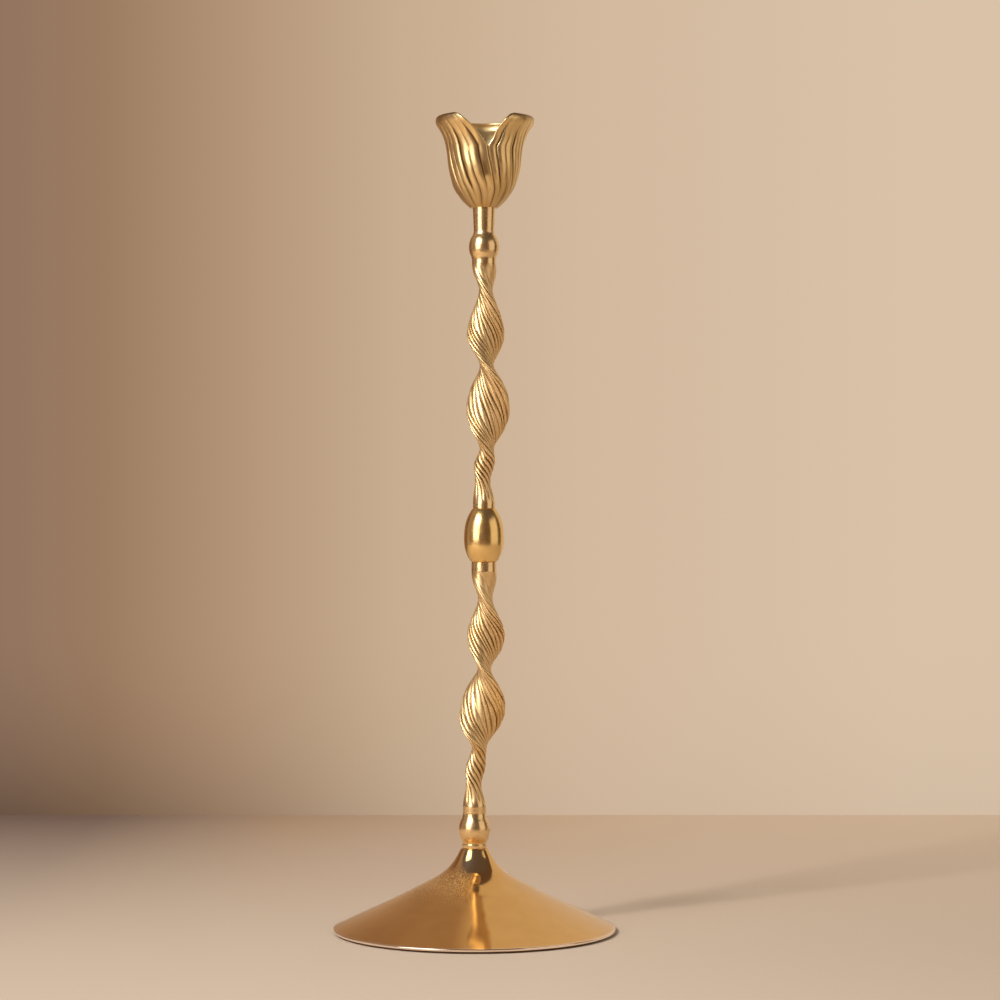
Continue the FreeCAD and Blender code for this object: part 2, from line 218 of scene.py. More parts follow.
# Depth of the reeds: share of the twisted length, share of the depth
reed_fade_shares = ((0.0, 0.0), (0.05, 0.7), (0.12, 1.3), (0.2, 1.25), (0.3, 1.0), (0.8, 0.95),
                    (0.9, 0.75), (0.95, 0.4), (1.0, 0.0))

# Knop outline: share of its length from the top, share of its radius, at each arc's middle and end
knop_arc_shares = (((0.19, 0.85), (0.42, 0.98)), ((0.55, 1.0), (0.68, 0.985)))
knop_last_arc_share = (0.84, 0.885)

# Cup outline: share of the cup's height, share of the mouth's radius
cup_outline_shares = ((0.0, 0.285), (0.07, 0.425), (0.13, 0.515), (0.20, 0.605), (0.27, 0.666),
                      (0.33, 0.704), (0.46, 0.755), (0.60, 0.781), (0.66, 0.798), (0.73, 0.829),
                      (0.79, 0.868), (0.86, 0.935), (0.92, 1.005), (0.96, 1.02), (1.0, 0.995))
# Petal edges: share of the notch's depth, share of the petal's sweep cut away at that edge
lap_edge_shares = ((0.0, 0.0), (0.29, 0.081), (0.55, 0.156), (0.81, 0.242), (0.96, 0.31),
                   (1.0, 0.36))
tuck_edge_shares = ((0.0, 0.0), (0.21, 0.058), (0.46, 0.1), (0.70, 0.155), (0.94, 0.235),
                    (1.0, 0.29))
# Lean of the lap line below the notch: share of the cup's height, share of a petal's sweep
lap_lean_shares = ((0.0, 0.16), (0.12, 0.15), (0.36, 0.067), (0.64, 0.0), (1.0, 0.0))
# Depth of flutes, facets and lap, and strength of the painted shade: share of the height, share of
# the value
flute_fade_shares = ((0.0, 0.0), (0.15, 0.3), (0.30, 0.9), (0.45, 1.0), (0.76, 1.0), (0.86, 0.5),
                     (0.93, 0.12), (1.0, 0.0))
facet_fade_shares = ((0.0, 0.5), (0.12, 1.0), (0.30, 0.5), (0.45, 0.0), (1.0, 0.0))
base_lip_shade_shares = ((0.0, 1.0), (0.12, 0.8), (0.4, 0.0), (0.84, 0.0), (0.93, 0.7),
                      (0.965, 1.0), (0.98, 2.2), (1.0, 2.6))
lap_shade_shares = ((0.0, 0.0), (0.28, 0.0), (0.36, 1.0), (0.5, 0.9), (0.62, 0.5), (0.75, 0.0),
                      (1.0, 0.0))
lap_fade_shares = ((0.0, 0.0), (0.20, 0.5), (0.45, 1.0), (1.0, 1.0))

# Finishes: size of the patches of tint and haze and of the polishing ripples
tint_cloud_mm = 9.0
haze_mm = 3.0
ripple_mm = 6.0
# Amount of painted shade at which the darkening of hollows and creases begins and is complete
painted_shade_span = (0.2, 0.9)
# Foot's finish: heights and distances between which the painted rim highlight and the patch of peel
# fade
rim_highlight_z = (1.8, 2.4)
peel_inner_r = (9.0, 14.0)
peel_outer_r = (20.0, 36.0)
peel_left_x = (-5.0, 0.0)
peel_front_y = (-6.0, 0.0)
peel_mm, peel_depth = 0.75, 0.35
fleck_mm, fleck_roughness = 0.5, 0.6
fleck_span = (0.53, 0.58)

# Foot outline: share of the radius, share of the height, up from the rim
foot_cone_end_share = (0.640, 0.317)
foot_sweep_shares = ((0.423, 0.507), (0.205, 0.729))
foot_throat_share = (0.143, 0.851)


def curve(table, position):
    """Value at a position on the monotone smooth curve through a table of pairs."""
    steps = [b[0] - a[0] for a, b in zip(table, table[1:])]
    rates = [(b[1] - a[1]) / step for a, b, step in zip(table, table[1:], steps)]
    slopes = [rates[0]]
    for before, after, s0, s1 in zip(rates, rates[1:], steps, steps[1:]):
        if before * after <= 0:
            slopes.append(0.0)
        else:
            w0, w1 = 2 * s1 + s0, s1 + 2 * s0
            slopes.append((w0 + w1) / (w0 / before + w1 / after))
    slopes.append(rates[-1])
    index = 0
    while index < len(steps) - 1 and position > table[index + 1][0]:
        index += 1
    (x0, y0), (_, y1), step = table[index], table[index + 1], steps[index]
    t = (position - x0) / step
    return (y0 * (1 + 2 * t) * (1 - t) ** 2 + slopes[index] * step * t * (1 - t) ** 2
            + y1 * t * t * (3 - 2 * t) + slopes[index + 1] * step * t * t * (t - 1))


def arc(start, middle, end, steps):
    """Points from start to end on the arc through three (radius, height) points."""
    (ax, ay), (bx, by), (cx, cy) = start, middle, end
    cross = 2 * (ax * (by - cy) + bx * (cy - ay) + cx * (ay - by))
    a2, b2, c2 = ax * ax + ay * ay, bx * bx + by * by, cx * cx + cy * cy
    x = (a2 * (by - cy) + b2 * (cy - ay) + c2 * (ay - by)) / cross
    y = (a2 * (cx - bx) + b2 * (ax - cx) + c2 * (bx - ax)) / cross
    radius = math.hypot(ax - x, ay - y)
    first, last = (math.atan2(p[1] - y, p[0] - x) for p in (start, end))
    turn = math.tau if cross > 0 else -math.tau
    sweep = (last - first) % turn
    return [(x + radius * math.cos(first + sweep * k / steps),
             y + radius * math.sin(first + sweep * k / steps)) for k in range(steps + 1)]


def straight(start, end, steps):
    return [(start[0] + (end[0] - start[0]) * k / steps, start[1] + (end[1] - start[1]) * k / steps)
            for k in range(steps + 1)]


def eased(points, radius, steps=8):
    """Outline whose sharp inner corners are rounded, from a length of radius before to after."""
    spots = np.array(points, dtype=float)
    runs = np.linalg.norm(np.diff(spots, axis=0), axis=1)
    along = np.concatenate(([0.0], np.cumsum(runs)))
    ways = np.diff(spots, axis=0) / runs[:, None]
    turns = np.degrees(np.arccos(np.clip((ways[:-1] * ways[1:]).sum(axis=1), -1, 1)))
    corners = [i + 1 for i, turn in enumerate(turns) if turn >= corner_turn]

    def at(length):
        return tuple(np.interp(length, along, spots[:, side]) for side in (0, 1))
    out, done = [], -1.0
    stops = [0.0] + [along[i] for i in corners] + [along[-1]]
    for index, before, here, after in zip(corners, stops, stops[1:], stops[2:]):
        low = max(here - radius, (here + before) / 2)
        high = min(here + radius, (here + after) / 2)
        out += [tuple(spot) for spot, length in zip(spots, along) if done < length < low]
        a, b, c = np.array(at(low)), spots[index], np.array(at(high))
        out += [tuple(a * (1 - t) ** 2 + b * 2 * t * (1 - t) + c * t * t)
                for t in (k / steps for k in range(steps + 1))]
        done = high
    return out + [tuple(spot) for spot, length in zip(spots, along) if length > done]


def to_metres(points):
    return [tuple(value * MM for value in point) for point in points]


def finish_mesh(mesh, sharp_turn=40.0):
    """Merges doubles, points the faces outwards and smooths all but the sharp edges."""
    shell = bmesh.new()
    shell.from_mesh(mesh)
    bmesh.ops.remove_doubles(shell, verts=shell.verts, dist=1e-7)
    bmesh.ops.dissolve_degenerate(shell, edges=shell.edges, dist=1e-8)
    bmesh.ops.recalc_face_normals(shell, faces=shell.faces)
    shell.to_mesh(mesh)
    shell.free()
    mesh.shade_smooth()
    mesh.set_sharp_from_angle(angle=math.radians(sharp_turn))


def new_piece(name, mesh, material):
    piece = bpy.data.objects.new(name, mesh)
    bpy.context.scene.collection.objects.link(piece)
    mesh.materials.clear()
    mesh.materials.append(material)
    return piece


def turned_mesh(name, outline, x, closed=False, segments=lathe_segments):
    """Mesh turned about the upright axis at x. Points on the axis make poles."""
    vertices, rings = [], []
    for r, z in outline:
        if r < 1e-6:
            rings.append([len(vertices)] * segments)
            vertices.append((x, 0.0, z))
        else:
            rings.append(list(range(len(vertices), len(vertices) + segments)))
            vertices += [(x + r * math.cos(math.tau * k / segments),
                          r * math.sin(math.tau * k / segments), z) for k in range(segments)]
    pairs = list(zip(rings, rings[1:])) + ([(rings[-1], rings[0])] if closed else [])
    faces = []
    for low, high in pairs:
        for k in range(segments):
            n = (k + 1) % segments
            corners = [low[k], low[n], high[n], high[k]]
            face = [c for i, c in enumerate(corners) if c != corners[i - 1]]
            if len(face) > 2:
                faces.append(face)
    mesh = bpy.data.meshes.new(name)
    mesh.from_pydata(to_metres(vertices), [], faces)
    finish_mesh(mesh)
    return mesh


def hex_colour(text):
    """Linear colour with alpha from an sRGB hex value."""
    values = [int(text[k:k + 2], 16) / 255 for k in (1, 3, 5)]
    linear = [v / 12.92 if v <= 0.04045 else ((v + 0.055) / 1.055) ** 2.4 for v in values]
    return (*linear, 1.0)


def feed(tree, node, feeds):
    """Links sockets and sets values, in the inputs' order or by name. A hex value is a colour."""
    for key, value in feeds.items() if isinstance(feeds, dict) else enumerate(feeds):
        if isinstance(value, bpy.types.NodeSocket):
            tree.links.new(value, node.inputs[key])
        elif isinstance(value, str) and value.startswith("#"):
            node.inputs[key].default_value = hex_colour(value)
        else:
            node.inputs[key].default_value = value


def add(tree, kind, feeds=(), out=0, stops=(), **settings):
    """Adds a node with its settings and links, and returns the output asked for.

    Stops are a colour ramp's positions and hex values. Where out is None, the node is returned.
    """
    node = tree.nodes.new(kind)
    for name, value in settings.items():
        setattr(node, name, value)
    if stops:
        elements = node.color_ramp.elements
        while len(elements) < len(stops):
            elements.new(0.5)
        for element, (position, text) in zip(elements, stops):
            element.position, element.color = position, hex_colour(text)
    feed(tree, node, feeds)
    return node if out is None else node.outputs[out]


def new_tree(name, inputs):
    """Geometry tree with named inputs, and those inputs' sockets."""
    tree = bpy.data.node_groups.new(name, "GeometryNodeTree")
    for label, kind in inputs:
        tree.interface.new_socket(label, in_out="INPUT", socket_type="NodeSocket" + kind)
    tree.interface.new_socket("Metal", in_out="OUTPUT", socket_type="NodeSocketGeometry")
    return tree, add(tree, "NodeGroupInput", out=None).outputs


def end_tree(tree, geometry, material):
    """Ends a geometry tree in one real mesh with its material."""
    geometry = add(tree, "GeometryNodeRealizeInstances", {"Geometry": geometry})
    geometry = add(tree, "GeometryNodeSetMaterial", {"Geometry": geometry, "Material": material})
    add(tree, "NodeGroupOutput", (geometry,), out=None)


def run_tree(name, base, tree, values):
    """Runs a geometry tree on a base mesh and returns the plain mesh that it makes."""
    holder = bpy.data.objects.new(name, base)
    bpy.context.scene.collection.objects.link(holder)
    modifier = holder.modifiers.new(tree.name, "NODES")
    modifier.node_group = tree
    for item in tree.interface.items_tree:
        if item.item_type == "SOCKET" and item.in_out == "INPUT" and item.name in values:
            modifier[item.identifier] = values[item.name]
    ready = holder.evaluated_get(bpy.context.evaluated_depsgraph_get())
    mesh = bpy.data.meshes.new_from_object(ready)
    bpy.data.objects.remove(holder)
    bpy.data.meshes.remove(base)
    mesh.name = name
    return mesh


def reeded_bar_tree():
    """One row point per level in, a reeded, twisted oval bar out.

    Each row is an oval. The skin's columns start evenly spaced on it and creep along it from row
    to row, the grooves are pressed in along the oval's own normal, and the row is turned and
    moved to its place on the leaning axis.
    """
    tree, source = new_tree("twisted reeded bar", (
        ("Rows", "Geometry"), ("Reeds", "Int"), ("Points per reed", "Int"),
        ("Reed roundness", "Float"), ("Material", "Material")))
    rows, per_reed = source["Rows"], source["Points per reed"]
    around = add(tree, MATH, (source["Reeds"], per_reed), operation="MULTIPLY")

    half_sizes = [add(tree, ROW_SIZE, {"Name": name}, data_type="FLOAT")
                  for name in ("half_width", "half_thickness")]
    circle = add(tree, "GeometryNodeCurvePrimitiveCircle",
                 {"Resolution": oval_points, "Radius": 1.0})
    ovals = add(tree, "GeometryNodeInstanceOnPoints",
                {"Points": rows, "Instance": circle, "Scale": add(tree, XYZ, (*half_sizes, 1.0))})
    ovals = add(tree, "GeometryNodeRealizeInstances", {"Geometry": ovals})

    # The skin's columns and rows, counted back from the places of a plain cylinder's points
    row_total = add(tree, "GeometryNodeAttributeDomainSize", {"Geometry": rows}, "Point Count",
                    component="MESH")
    steps = add(tree, MATH, (row_total, 1.0), operation="SUBTRACT")
    skin = add(tree, "GeometryNodeMeshCylinder",
               {"Vertices": around, "Side Segments": steps, "Radius": 1.0, "Depth": 1.0},
               fill_type="NGON")
    x, y, z = add(tree, SPLIT_XYZ, (add(tree, "GeometryNodeInputPosition"),), None).outputs
    angle = add(tree, MATH, (y, x), operation="ARCTAN2")
    columns_a_radian = add(tree, MATH, (around, math.tau), operation="DIVIDE")
    column = add(tree, MATH, (angle, columns_a_radian), operation="MULTIPLY")
    column = add(tree, MATH, (column,), operation="ROUND")
    column = add(tree, MATH, (column, around), operation="FLOORED_MODULO")
    row = add(tree, MATH, (z, 0.5), operation="ADD")
    row = add(tree, MATH, (row, steps), operation="MULTIPLY")
    row = add(tree, MATH, (row,), operation="ROUND")

    def at_row(name):
        """One of the sizes of the row that a point of the skin is in."""
        size = add(tree, ROW_SIZE, {"Name": name}, data_type="FLOAT")
        return add(tree, "GeometryNodeSampleIndex", {"Geometry": rows, "Value": size, "Index": row},
                   data_type="FLOAT", domain="POINT")

    # Place on the oval, with ripples so that the reeds don't lie quite evenly
    way_round = add(tree, MATH, (column, around), operation="DIVIDE")
    share = add(tree, MATH, (way_round, at_row("creep")), operation="ADD")
    for reach, waves, drift in creep_ripples:
        phase = add(tree, MATH, (way_round, waves * math.tau), operation="MULTIPLY")
        phase = add(tree, MATH, (row, drift, phase), operation="MULTIPLY_ADD")
        wave = add(tree, MATH, (phase,), operation="SINE")
        wave = add(tree, MATH, (wave, reach), operation="MULTIPLY")
        share = add(tree, MATH, (wave, at_row("fineness"), share), operation="MULTIPLY_ADD")
    share = add(tree, MATH, (share,), operation="FRACT")
    spot = add(tree, "GeometryNodeSampleCurve",
               {"Curves": ovals, "Factor": share, "Curve Index": row}, "Position", mode="FACTOR")

    # Height on the reed: pairs of reeds run together where the bar is narrow
    reed = add(tree, MATH, (column, per_reed), operation="DIVIDE")
    pair = add(tree, MATH, (reed, 0.5, 0.25), operation="MULTIPLY_ADD")
    crests = []
    for phase in (pair, reed):
        wave = add(tree, MATH, (phase, math.pi), operation="MULTIPLY")
        wave = add(tree, MATH, (wave,), operation="COSINE")
        wave = add(tree, MATH, (wave,), operation="ABSOLUTE")
        crests.append(add(tree, MATH, (wave, source["Reed roundness"]), operation="POWER"))
    height = add(tree, MIX, {0: at_row("fineness"), 2: crests[0], 3: crests[1]}, data_type="FLOAT")
    down = add(tree, MATH, (1.0, height), operation="SUBTRACT")

    # Depth of the groove, which wanders along each reed in its own way
    number = add(tree, MATH, (reed, 0.5), operation="ADD")
    number = add(tree, MATH, (number,), operation="FLOOR")
    level = add(tree, MATH, (number, reed_noise_step), operation="MULTIPLY")
    along = add(tree, MATH, (row, row_pitch / depth_wander_length), operation="MULTIPLY")
    place = add(tree, XYZ, (level, along))
    wander = add(tree, NOISE, {"Vector": place, "Scale": 1.0, "Detail": 0.0})
    wander = add(tree, RANGE, (wander, *noise_span, *depth_wander))
    inward = add(tree, MATH, (at_row("reed_depth"), wander), operation="MULTIPLY")
    inward = add(tree, MATH, (inward, down), operation="MULTIPLY")

    # The oval's own normal, then the groove, the twist and the lean
    x, y, _ = add(tree, SPLIT_XYZ, (spot,), None).outputs
    normal = []
    for distance, name in ((x, "half_width"), (y, "half_thickness")):
        half = at_row(name)
        squared = add(tree, MATH, (half, half), operation="MULTIPLY")
        normal.append(add(tree, MATH, (distance, squared), operation="DIVIDE"))
    normal = add(tree, VECTOR_MATH, (add(tree, XYZ, normal),), operation="NORMALIZE")
    pressed = add(tree, VECTOR_MATH, {0: normal, "Scale": inward}, operation="SCALE")
    pressed = add(tree, VECTOR_MATH, (spot, pressed), operation="SUBTRACT")
    turned = add(tree, "ShaderNodeVectorRotate", {"Vector": pressed, "Angle": at_row("turn")},
                 rotation_type="Z_AXIS")
    lean = add(tree, XYZ, (at_row("lean"),))
    placed = add(tree, VECTOR_MATH, (turned, lean), operation="ADD")

    # Groove depth, stored as the amount of painted shade in the grooves
    painted_shade_amount = add(tree, MATH, (inward, reed_depth * MM), operation="DIVIDE")
    for label, value in ((PAINTED_SHADE, painted_shade_amount), (REEDED, at_row(REEDED))):
        skin = add(tree, "GeometryNodeStoreNamedAttribute",
                   {"Geometry": skin, "Name": label, "Value": value},
                   data_type="FLOAT", domain="POINT")
    skin = add(tree, "GeometryNodeSetPosition", {"Geometry": skin, "Position": placed})
    end_tree(tree, skin, source["Material"])
    return tree


def plain_rows(outline, x, turn_share):
    """Rows of a round neck or bead from an outline of (radius, height) points."""
    turn = math.radians(twist_start + twist_angle * turn_share)
    creep = curve(reed_creep_shares, turn_share)
    return [(z, r, r, turn, x, 0.0, creep, 0.0, 0.0) for r, z in outline]


def twist_rows(z, length, low_r, high_r, widths, thicknesses, turns, lean_at):
    """Rows of the twisted bar: a height, then the sizes named in ROW_SIZES."""
    widths = ((0.0, 2 * low_r / stem_width),) + widths[1:-1] + ((1.0, 2 * high_r / stem_width),)
    thicknesses = (((0.0, 2 * low_r / stem_thickness),) + thicknesses[1:-1]
                   + ((1.0, 2 * high_r / stem_thickness),))
    count = round(length / row_pitch)
    narrow, broad = fine_reed_widths
    satin_rise, satin_fall = satin_fade_shares
    rows = []
    for k in range(count + 1):
        share = k / count
        width, turn = curve(widths, share), curve(turns, share)
        rows.append((z + length * share, stem_width / 2 * width,
                     stem_thickness / 2 * curve(thicknesses, share),
                     math.radians(twist_start + twist_angle * turn), lean_at(share),
                     reed_depth * curve(reed_fade_shares, share),
                     curve(reed_creep_shares, turn),
                     min(1.0, max(0.0, (width - narrow) / (broad - narrow))),
                     min(1.0, share / satin_rise, (1 - share) / satin_fall)))
    return rows


def stem_piece(name, rows, tree, material):
    """Solid stem skinned through its rows."""
    base = bpy.data.meshes.new(name + "_rows")
    base.from_pydata([(0.0, 0.0, row[0] * MM) for row in rows], [], [])
    for column, label in enumerate(ROW_SIZES, start=1):
        unit = 1.0 if label in ROW_SHARES else MM
        layer = base.attributes.new(label, "FLOAT", "POINT")
        layer.data.foreach_set("value", [row[column] * unit for row in rows])
    mesh = run_tree(name, base, tree, {"Reeds": reed_count, "Points per reed": points_per_reed,
                                       "Reed roundness": reed_roundness, "Material": material})
    finish_mesh(mesh)
    return new_piece(name, mesh, material)


def upper_stem(tree, material):
    z0 = upper_low[2]
    twist_z = z0 + upper_foot_neck_length
    cup_z = upper_high[2]
    neck_z = cup_z - cup_neck_length
    bead_z = neck_z - upper_bead_length
    twist_length = bead_z - upper_neck_length - twist_z
    foot_neck = straight((upper_foot_neck_r, z0 + edge_round), (upper_foot_neck_r, twist_z), 5)
    low = [(upper_foot_neck_r - edge_round, z0)] + foot_neck[:-1]
    bead_middle = (upper_bead_r, bead_z + upper_bead_length / 2)
    head = eased(straight((upper_neck_r, bead_z - upper_neck_length), (upper_neck_r, bead_z), 4)
                 + arc((upper_neck_r, bead_z), bead_middle, (cup_neck_low_r, neck_z), 40)[1:]
                 + straight((cup_neck_low_r, neck_z), (cup_neck_top_r, cup_z), 16)[1:],
                 neck_round)
    rows = plain_rows(low, stick_x, 1.0)
    rows += twist_rows(twist_z, twist_length, upper_foot_neck_r, upper_neck_r,
                       upper_width_shares, upper_thickness_shares, upper_turn_shares,
                       lambda share: stick_x + stem_width * curve(upper_sway_shares, share))
    rows += plain_rows(head[1:], stick_x, 0.0)
    return stem_piece("upper_stem_reeded", rows, tree, material)


def lower_stem(tree, material):
    z0, z1 = lower_low[2], lower_high[2]
    groove_z = z0 + ring_length
    bead_z = groove_z + groove_length
    neck_z = bead_z + lower_bead_length
    twist_z = neck_z + lower_neck_length
    twist_length = z1 - lower_head_neck_length - twist_z
    bead_middle = (lower_bead_r, bead_z + lower_bead_length / 2)
    foot_end = eased([(ring_r - edge_round, z0), (ring_r, z0 + edge_round), (ring_r, groove_z),
                      (groove_r, groove_z), (groove_r, bead_z)]
                     + arc((groove_r, bead_z), bead_middle, (lower_neck_r, neck_z), 40)[1:]
                     + straight((lower_neck_r, neck_z), (lower_neck_r, twist_z), 10)[1:],
                     neck_round)
    head = straight((lower_head_neck_r, z1 - lower_head_neck_length),
                    (lower_head_neck_r, z1 - edge_round), 8)
    head.append((lower_head_neck_r - edge_round, z1))
    rows = plain_rows(foot_end[:-1], 0.0, 1.0)
    rows += twist_rows(twist_z, twist_length, lower_neck_r, lower_head_neck_r,
                       lower_width_shares, lower_thickness_shares, lower_turn_shares,
                       lambda share: stick_x * curve(lower_lean_shares, share))
    rows += plain_rows(head[1:], stick_x, 0.0)
    return stem_piece("lower_stem_reeded", rows, tree, material)


def middle_knop(material):
    z1 = knop_high[2]
    length = z1 - knop_low[2]

    def point(share_down, share_r):
        return (knop_r * share_r, z1 - length * share_down)
    start = (knop_top_r, z1)
    outline = [start]
    for middle, end in knop_arc_shares:
        outline += arc(start, point(*middle), point(*end), 20)[1:]
        start = point(*end)
    outline += arc(start, point(*knop_last_arc_share), (knop_low_r, knop_low[2]), 16)[1:]
    outline = eased([(0.0, z1)] + outline + [(0.0, knop_low[2])], edge_round)
    return new_piece("middle_knop_turned", turned_mesh("middle_knop_turned", outline, stick_x),
                     material)


def foot(material):
    low_z = foot_low[2]
    height, radius = foot_high[2] - low_z, foot_high[0]
    rim_z = low_z + foot_rim_edge

    def point(share, drop=0.0):
        return (radius * share[0], low_z + height * share[1] - drop)
    cone_end, sweep_middle, sweep_end = foot_cone_end_share, *foot_sweep_shares
    inner_rim_r = radius - foot_rim_land
    slope = (point(cone_end)[1] - rim_z) / (radius - point(cone_end)[0])
    inner_rim_z = rim_z + slope * foot_rim_land - foot_wall
    seat_z = foot_high[2] - foot_boss_depth
    top_share = foot_top_r / radius
    rise = ((top_share, 1.0), foot_throat_share, sweep_end, sweep_middle, cone_end,
            (1.0, foot_rim_edge / height))
    flare = np.linspace(cone_end[0], top_share, flare_steps + 1)[1:]
    outside = ([(radius, low_z), (radius, rim_z)]
               + straight((radius, rim_z), point(cone_end), cone_steps)[1:]
               + [point((share, curve(rise, share))) for share in flare])
    inside = ([(foot_hole_r, foot_high[2]), (foot_hole_r, seat_z), (foot_seat_r, seat_z)]
              + arc(point(sweep_end, foot_wall), point(sweep_middle, foot_wall),
                    point(cone_end, foot_wall), inner_steps)
              + [(inner_rim_r, inner_rim_z), (inner_rim_r, low_z)])
    outline = eased(outside + inside, foot_edge_round)
    mesh = turned_mesh("foot_cone", outline, 0.0, closed=True, segments=foot_segments)
    return new_piece("foot_cone", mesh, material)


def cup_r(share):
    return cup_mouth_r * curve(cup_outline_shares, share)


def edge_thickness(distance):
    """Share of the wall's half thickness at a distance in from a rounded petal edge."""
    t = min(1.0, distance / petal_edge)
    return math.sqrt(1 - (1 - t) ** 2)


def petal_mesh():
    """One petal from the base to its lip, as an outer and an inner face that meet in round edges.

    Its radius falls along its sweep, so that each petal laps over the far end of the next.
    """
    z0 = cup_low[2]
    height = cup_high[2] - z0
    notch_z = z0 + height - notch_depth
    heights = [height * k / petal_rows for k in range(petal_rows - lip_rows_replaced + 1)]
    heights += [height - petal_edge * (1 - math.sin(math.pi / 2 * k / lip_rows))
                for k in range(lip_rows + 1)]
    heights = sorted(set(heights))
    steps = points_per_flute * flutes_per_petal
    across = sorted({0.0, 1.0, *petal_side_steps, *(1 - step for step in petal_side_steps)}
                    | {k / steps for k in range(2, steps - 1)})
    sheets, painted_shade_amounts = {1: [], -1: []}, {1: [], -1: []}
    for h in heights:
        share = h / height
        rise = max(0.0, (z0 + h - notch_z) / notch_depth)
        lean = petal_sweep * curve(lap_lean_shares, share)
        lap_cut = petal_sweep * curve(lap_edge_shares, rise)
        sweep = petal_sweep - lap_cut - petal_sweep * curve(tuck_edge_shares, rise)
        first = front_turn + front_notch_turn + lean - lap_cut
        lap = petal_lap * curve(lap_fade_shares, share)
        flute = flute_depth * curve(flute_fade_shares, share)
        facet = facet_depth * curve(facet_fade_shares, share)
        outline_r = cup_r(share)
        wall = cup_wall + (lip_wall - cup_wall) * rise
        top_edge = edge_thickness(height - h)
        base_lip_shade_here = base_lip_shade * curve(base_lip_shade_shares, share)
        lap_shade_here = lap_shade * curve(lap_shade_shares, share)
        for u in across:
            edge = top_edge * edge_thickness(min(u, 1 - u) * math.radians(sweep) * outline_r)
            flute_in = 0.0 if u < 0.5 / flutes_per_petal else (
                1 - abs(math.sin(math.pi * flutes_per_petal * u)) ** flute_roundness)
            facet_in = 0.0 if u < 1.0 / flutes_per_petal else (
                1 - abs(math.sin(math.pi * flutes_per_petal / 2 * u)) ** flute_roundness)
            which = min(flutes_per_petal - 1, round(u * flutes_per_petal) - 1)
            groove = (flute * flute_in * flute_unevenness[which] + facet * facet_in) * edge
            outer = outline_r - lap * u - groove
            inner = outline_r - lap * u - wall
            middle = (outer + inner) / 2
            a = math.radians(first - sweep * u)
            # Painted shade: in the grooves, at the base and lip, in the broad flute beside the lap
            # and on the tucked-under edge
            painted_shade_here = (groove / flute_depth + base_lip_shade_here
                    + lap_shade_here * max(0.0, 1 - abs(u - lap_shade_u) / lap_shade_reach)
                    + tucked_edge_shade * max(0.0, 1 - (1 - u) / tucked_edge_shade_reach))
            for side, sheet in sheets.items():
                r = middle + side * (outer - inner) / 2 * edge
                sheet.append((r * math.cos(a), r * math.sin(a), z0 + h))
                painted_shade_amounts[side].append(min(1.0, painted_shade_here) if side > 0 else 0.0)
    columns, rows = len(across), len(heights)
    vertices = sheets[1] + sheets[-1]
    back = len(sheets[1])
    faces = []
    for i in range(rows - 1):
        for k in range(columns - 1):
            a, b = i * columns + k, (i + 1) * columns + k
            faces += [(a, a + 1, b + 1, b), (back + a, back + b, back + b + 1, back + a + 1)]
    faces += [(k, back + k, back + k + 1, k + 1) for k in range(columns - 1)]
    mesh = bpy.data.meshes.new("petal")
    mesh.from_pydata(to_metres(vertices), [], faces)
    layer = mesh.attributes.new(PAINTED_SHADE, "FLOAT", "POINT")
    layer.data.foreach_set("value", painted_shade_amounts[1] + painted_shade_amounts[-1])
    finish_mesh(mesh)
    return mesh


def petal_ring_tree():
    """A petal in, the whole ring of petals out, about the cup's own axis."""
    tree, source = new_tree("petals round the cup", (
        ("Petal", "Geometry"), ("Petals", "Int"), ("Axis", "Vector"), ("Material", "Material")))
    spots = add(tree, "GeometryNodePoints", {"Count": source["Petals"], "Position": source["Axis"]})
    step = add(tree, MATH, (math.tau, source["Petals"]), operation="DIVIDE")
    turn = add(tree, MATH, (add(tree, "GeometryNodeInputIndex"), step), operation="MULTIPLY")
    turn = add(tree, XYZ, {2: turn})
    ring = add(tree, "GeometryNodeInstanceOnPoints",
               {"Points": spots, "Instance": source["Petal"], "Rotation": turn})
    end_tree(tree, ring, source["Material"])
    return tree


def tulip_petals(material):
    mesh = run_tree("tulip_petals", petal_mesh(), petal_ring_tree(),
                    {"Petals": petal_count, "Axis": (stick_x * MM, 0.0, 0.0),
                     "Material": material})
    finish_mesh(mesh)
    return new_piece("tulip_petals", mesh, material)


def cup_socket(material):
    """Solid bowl inside the petals, with its socket from above and the stud's hole."""
    z0 = cup_low[2]
    height = cup_high[2] - z0
    notch_share = 1 - notch_depth / height
    floor_z, hole_z = z0 + cup_floor_h, z0 + stud_cup_depth
    mouth_z = floor_z + socket_depth
    notch_z = z0 + height - notch_depth
    throat_r = cup_r(notch_share) - petal_lap - cup_wall
    sunk = petal_lap + cup_wall / 2
    outside = [(cup_r(notch_share * share) - sunk, z0 + (notch_z - z0) * share)
               for share in np.linspace(1.0, 0.0, 25)]
    outline = ([(0.0, floor_z), (socket_r, floor_z), (socket_r, mouth_z), (throat_r, notch_z)]
               + outside + [(stud_hole_r, z0), (stud_hole_r, hole_z), (0.0, hole_z)])
    return new_piece("candle_socket", turned_mesh("candle_socket", outline, stick_x), material)


def new_material(name):
    """Material with only a Principled shader, and its tree, shader and object coordinates."""
    material = bpy.data.materials.new(name)
    material.use_nodes = True
    tree = material.node_tree
    place = add(tree, "ShaderNodeTexCoord", out="Object")
    return material, tree, tree.nodes["Principled BSDF"], place


